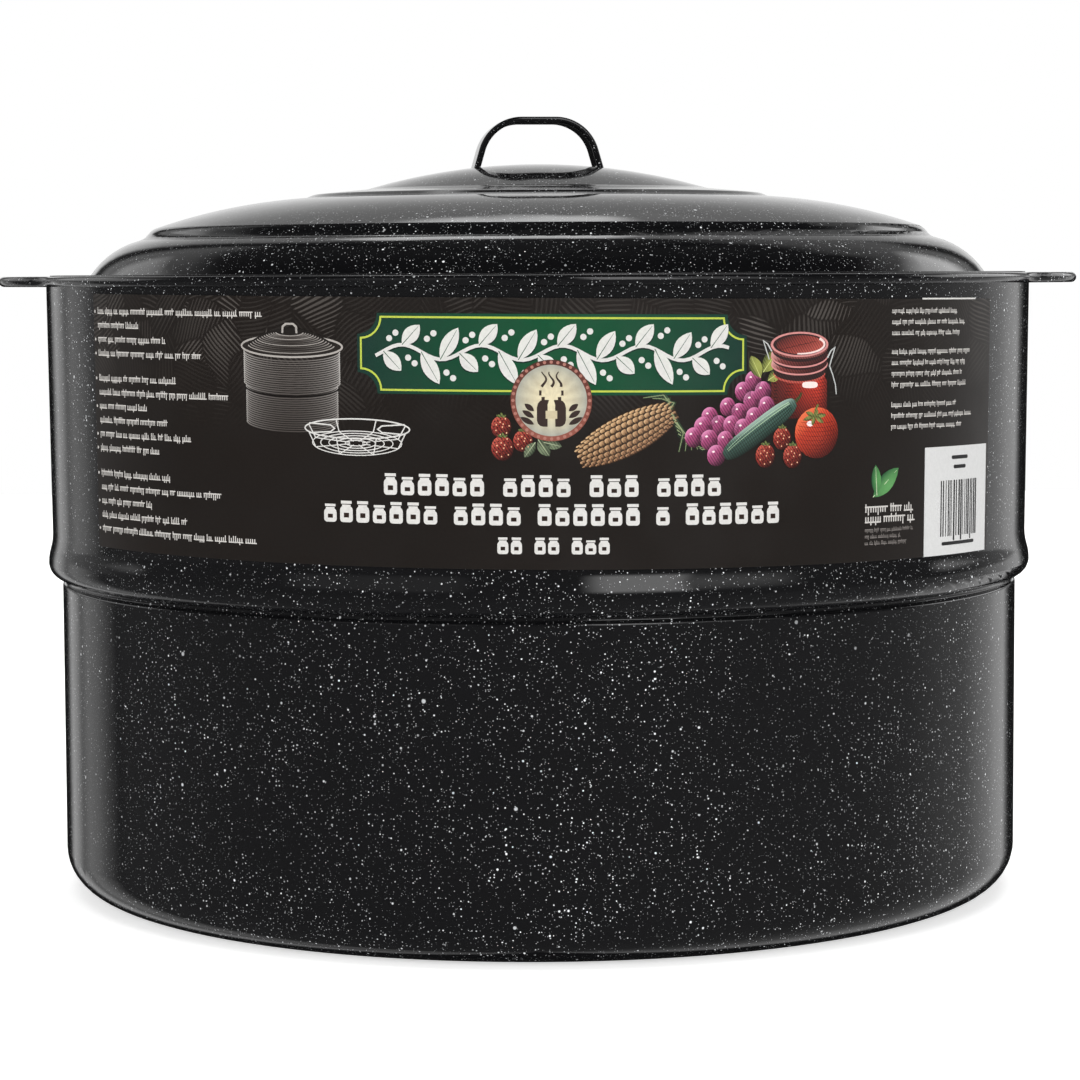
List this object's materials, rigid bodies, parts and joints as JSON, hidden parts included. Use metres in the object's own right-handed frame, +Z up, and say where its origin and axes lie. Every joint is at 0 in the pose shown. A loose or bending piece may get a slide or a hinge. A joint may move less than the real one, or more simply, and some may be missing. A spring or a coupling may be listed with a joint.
{
  "type": "water bath canner",
  "caption": "Large lidded enamel stockpot with a stepped wall, side ears and a wire jar rack inside that lifts out by folding handles.",
  "frame": {"origin": "centre of the pot's base", "axes": "+Z up, -Y towards the label, +X towards the right ear as the label is read"},
  "size_m": [0.4496, 0.4106, 0.3183],
  "materials": {
    "enamel": "gloss black porcelain enamel with white speckles",
    "label_paper": "satin printed paper",
    "sticker_paper": "matt white paper",
    "rack_wire": "bright plated steel wire"
  },
  "bodies": {
    "pot": {"pot_body": "enamel", "label_wrap": "label_paper", "barcode_sticker": "sticker_paper"},
    "lid": {"lid_shell": "enamel", "lid_handle": "enamel"},
    "rack": {"rack_top_ring": "rack_wire", "rack_floor_ring_1": "rack_wire", "rack_floor_ring_2": "rack_wire", "rack_floor_ring_3": "rack_wire", "rack_floor_ring_4": "rack_wire", "rack_floor_ring_5": "rack_wire", "rack_floor_ring_6": "rack_wire", "rack_rib_1": "rack_wire", "rack_rib_2": "rack_wire", "rack_rib_3": "rack_wire", "rack_rib_4": "rack_wire", "rack_rib_5": "rack_wire", "rack_rib_6": "rack_wire", "rack_rib_7": "rack_wire", "rack_rib_8": "rack_wire"},
    "handle_left": {"rack_handle_left": "rack_wire"},
    "handle_right": {"rack_handle_right": "rack_wire"}
  },
  "joints": [
    {"name": "lid_lift", "type": "slide", "parent": "pot", "child": "lid", "axis": [0, 0, 1], "range_m": [0, 0.6]},
    {"name": "rack_lift", "type": "slide", "parent": "pot", "child": "rack", "axis": [0, 0, 1], "range_m": [0, 0.3]},
    {"name": "rack_handle_left_fold", "type": "hinge", "parent": "rack", "child": "handle_left", "pos_m": [-0.1554, 0, 0.06], "axis": [0, -1, 0], "range_deg": [0, 95]},
    {"name": "rack_handle_right_fold", "type": "hinge", "parent": "rack", "child": "handle_right", "pos_m": [0.1554, 0, 0.06], "axis": [0, 1, 0], "range_deg": [0, 95]}
  ],
  "couplings": [
    {"joint": "rack_lift", "follows": "lid_lift", "ratio": 0.5}
  ]
}
